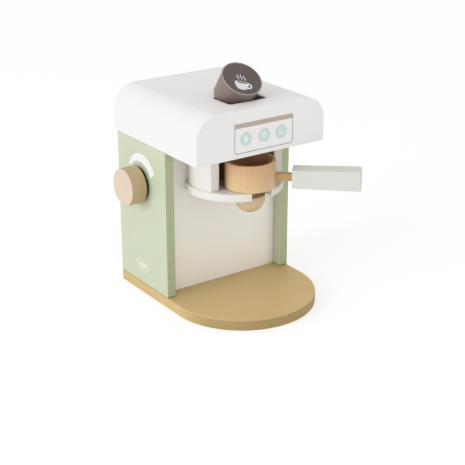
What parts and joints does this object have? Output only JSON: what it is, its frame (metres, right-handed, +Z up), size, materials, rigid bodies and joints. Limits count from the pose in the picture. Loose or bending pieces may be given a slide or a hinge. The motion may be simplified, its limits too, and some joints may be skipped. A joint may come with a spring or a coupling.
{
  "type": "toy coffee maker",
  "caption": "Wooden toy capsule coffee maker: rounded white head with a capsule slot, green sides, turning knob, and a filter holder that slides and swings on a tray.",
  "frame": {"origin": "the middle of the base plate's footprint, on its underside, where the toy stands", "axes": "+Z up, -Y to the front, where the filter holder is, and -X to the side with the knob"},
  "size_m": [0.1825, 0.2069, 0.2414],
  "materials": {
    "warm_white_paint": "satin off-white paint on MDF and plywood",
    "panel_paint": "satin warm greige paint on MDF",
    "sage_paint": "satin sage green paint on MDF",
    "mustard_paint": "satin mustard paint on MDF",
    "grey_paint": "satin light grey paint on solid wood",
    "beech_wood": "turned beech, clear matt varnish",
    "birch_wood": "unfinished birch",
    "capsule_paint": "satin taupe brown paint on turned wood",
    "capsule_print": "dark brown printed disc with a plain white cup figure",
    "black_rubber": "matt black",
    "zinc_steel": "zinc plated wood screw"
  },
  "bodies": {
    "machine": {"head_front_plate": "warm_white_paint", "head_back_plate": "warm_white_paint", "head_floor": "warm_white_paint", "head_top_shell": "warm_white_paint", "brew_tray": "warm_white_paint", "brew_collar": "warm_white_paint", "front_panel": "panel_paint", "back_panel": "panel_paint", "left_side_panel": "sage_paint", "right_side_panel": "sage_paint", "base_plate": "mustard_paint", "pocket_front_wall": "birch_wood", "pocket_back_wall": "birch_wood", "pocket_left_wall": "birch_wood", "pocket_right_wall": "birch_wood", "front_left_head_dowel": "birch_wood", "front_right_head_dowel": "birch_wood", "rear_left_head_dowel": "birch_wood", "rear_right_head_dowel": "birch_wood", "left_tray_dowel": "birch_wood", "right_tray_dowel": "birch_wood", "front_left_base_screw": "zinc_steel", "front_right_base_screw": "zinc_steel", "rear_left_base_screw": "zinc_steel", "rear_right_base_screw": "zinc_steel", "left_collar_screw": "zinc_steel", "right_collar_screw": "zinc_steel"},
    "knob": {"knob_disc": "beech_wood", "knob_washer": "black_rubber", "knob_axle": "birch_wood", "knob_retainer": "birch_wood"},
    "spout": {"spout_ball": "beech_wood", "spout_neck": "beech_wood"},
    "filter_holder": {"filter_cup": "beech_wood", "handle_rod": "beech_wood", "handle_grip": "grey_paint"},
    "capsule": {"capsule_body": "capsule_paint", "capsule_lid": "capsule_print"}
  },
  "joints": [
    {"name": "knob_turn", "type": "hinge", "parent": "machine", "child": "knob", "pos_m": [-0.075, 0.05, 0.1192], "axis": [-1, 0, 0], "continuous": true},
    {"name": "filter_slide", "type": "slide", "parent": "machine", "child": "spout", "axis": [0, -1, 0], "range_m": [0, 0.06]},
    {"name": "filter_swing", "type": "hinge", "parent": "spout", "child": "filter_holder", "pos_m": [0, -0.0317, 0.1259], "axis": [0, 0, -1], "range_deg": [-30, 128]},
    {"name": "capsule_lift", "type": "slide", "parent": "machine", "child": "capsule", "axis": [0, 0, 1], "range_m": [0, 0.06]}
  ]
}
